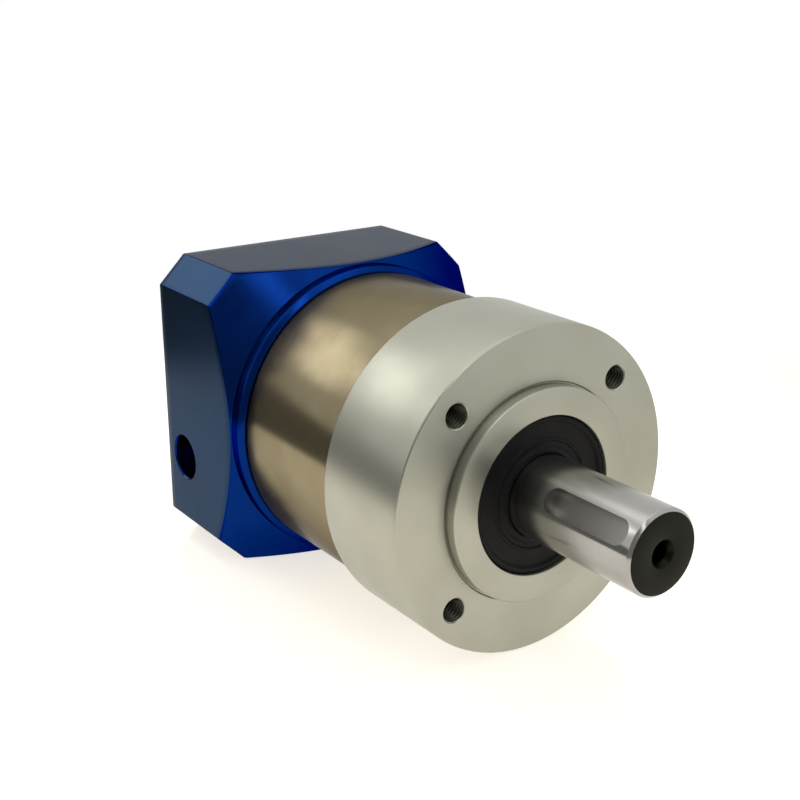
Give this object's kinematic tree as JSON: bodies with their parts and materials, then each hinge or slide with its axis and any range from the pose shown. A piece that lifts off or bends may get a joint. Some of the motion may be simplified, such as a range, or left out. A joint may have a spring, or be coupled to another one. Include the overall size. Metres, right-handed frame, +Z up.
{
  "type": "inline planetary gear reducer",
  "caption": "Inline planetary gear reducer with a square blue motor flange, a round ring gear body and a keyed output shaft.",
  "frame": {"origin": "middle of the overall length, on the gear axis", "axes": "+X along the gear axis out of the output shaft, +Z up with the motor flange resting on its flat side"},
  "size_m": [0.15, 0.08, 0.08],
  "materials": {
    "anodised": "dark blue anodised, fine turned flare and milled flats",
    "bare_aluminium": "bare, finely turned, satin",
    "satin_steel": "ground, satin, faint warm grey tone",
    "ground_steel": "ground and polished",
    "gear_steel": "case hardened, ground tooth flanks",
    "bearing_steel": "ground and polished bearing steel",
    "bearing_cage": "pressed steel cage with polished balls",
    "spring_steel": "phosphated spring steel",
    "black_steel": "black oxide",
    "bronze": "sintered bronze",
    "nitrile_rubber": "matt moulded rubber"
  },
  "bodies": {
    "housing": {"motor_flange": "anodised", "ring_gear": "satin_steel", "output_housing": "bare_aluminium", "output_seal": "nitrile_rubber", "input_seal": "nitrile_rubber", "o_ring_front": "nitrile_rubber", "o_ring_rear": "nitrile_rubber", "output_bearing_front_outer": "bearing_steel", "output_bearing_rear_outer": "bearing_steel", "input_bearing_outer": "bearing_steel", "outer_spacer_ring": "ground_steel", "housing_circlip": "spring_steel", "flange_circlip": "spring_steel", "tie_screw_1": "black_steel", "tie_screw_2": "black_steel", "tie_screw_3": "black_steel", "tie_screw_4": "black_steel"},
    "output": {"output_shaft": "ground_steel", "output_bearing_front_inner": "bearing_steel", "output_bearing_rear_inner": "bearing_steel", "inner_spacer_ring": "ground_steel", "shaft_circlip": "spring_steel", "planet_pin_1": "bearing_steel", "planet_pin_2": "bearing_steel", "planet_pin_3": "bearing_steel", "thrust_washer_front_1": "bronze", "thrust_washer_front_2": "bronze", "thrust_washer_front_3": "bronze", "thrust_washer_rear_1": "bronze", "thrust_washer_rear_2": "bronze", "thrust_washer_rear_3": "bronze"},
    "planet_1": {"planet_gear_1": "gear_steel", "planet_bush_1": "bronze"},
    "planet_2": {"planet_gear_2": "gear_steel", "planet_bush_2": "bronze"},
    "planet_3": {"planet_gear_3": "gear_steel", "planet_bush_3": "bronze"},
    "front_balls": {"output_bearing_front_balls": "bearing_cage"},
    "rear_balls": {"output_bearing_rear_balls": "bearing_cage"},
    "input_balls": {"input_bearing_balls": "bearing_cage"},
    "input": {"input_hub": "ground_steel", "sun_gear": "gear_steel", "hub_circlip": "spring_steel", "clamp_ring": "ground_steel", "input_bearing_inner": "bearing_steel"},
    "clamp_screw": {"clamp_screw": "black_steel"}
  },
  "joints": [
    {"name": "output_spin", "type": "hinge", "parent": "housing", "child": "output", "pos_m": [0, 0, 0], "axis": [1, 0, 0], "continuous": true},
    {"name": "planet_1_spin", "type": "hinge", "parent": "output", "child": "planet_1", "pos_m": [-0.0168, -0.0151, 0.0098], "axis": [1, 0, 0], "continuous": true},
    {"name": "planet_2_spin", "type": "hinge", "parent": "output", "child": "planet_2", "pos_m": [-0.0168, -0.00094, -0.01798], "axis": [1, 0, 0], "continuous": true},
    {"name": "planet_3_spin", "type": "hinge", "parent": "output", "child": "planet_3", "pos_m": [-0.0168, 0.01604, 0.00817], "axis": [1, 0, 0], "continuous": true},
    {"name": "front_balls_spin", "type": "hinge", "parent": "housing", "child": "front_balls", "pos_m": [0, 0, 0], "axis": [1, 0, 0], "continuous": true},
    {"name": "rear_balls_spin", "type": "hinge", "parent": "housing", "child": "rear_balls", "pos_m": [0, 0, 0], "axis": [1, 0, 0], "continuous": true},
    {"name": "input_spin", "type": "hinge", "parent": "housing", "child": "input", "pos_m": [0, 0, 0], "axis": [1, 0, 0], "continuous": true},
    {"name": "input_balls_spin", "type": "hinge", "parent": "housing", "child": "input_balls", "pos_m": [0, 0, 0], "axis": [1, 0, 0], "continuous": true},
    {"name": "clamp_screw_turn", "type": "hinge", "parent": "input", "child": "clamp_screw", "pos_m": [-0.065, 0, -0.0144], "axis": [0, -1, 0], "range_deg": [0, 360]}
  ],
  "couplings": [
    {"joint": "planet_1_spin", "follows": "output_spin", "ratio": -2.6667},
    {"joint": "planet_2_spin", "follows": "output_spin", "ratio": -2.6667},
    {"joint": "planet_3_spin", "follows": "output_spin", "ratio": -2.6667},
    {"joint": "front_balls_spin", "follows": "output_spin", "ratio": 0.41389},
    {"joint": "rear_balls_spin", "follows": "output_spin", "ratio": 0.41389},
    {"joint": "input_spin", "follows": "output_spin", "ratio": 5},
    {"joint": "input_balls_spin", "follows": "output_spin", "ratio": 2.1567}
  ]
}
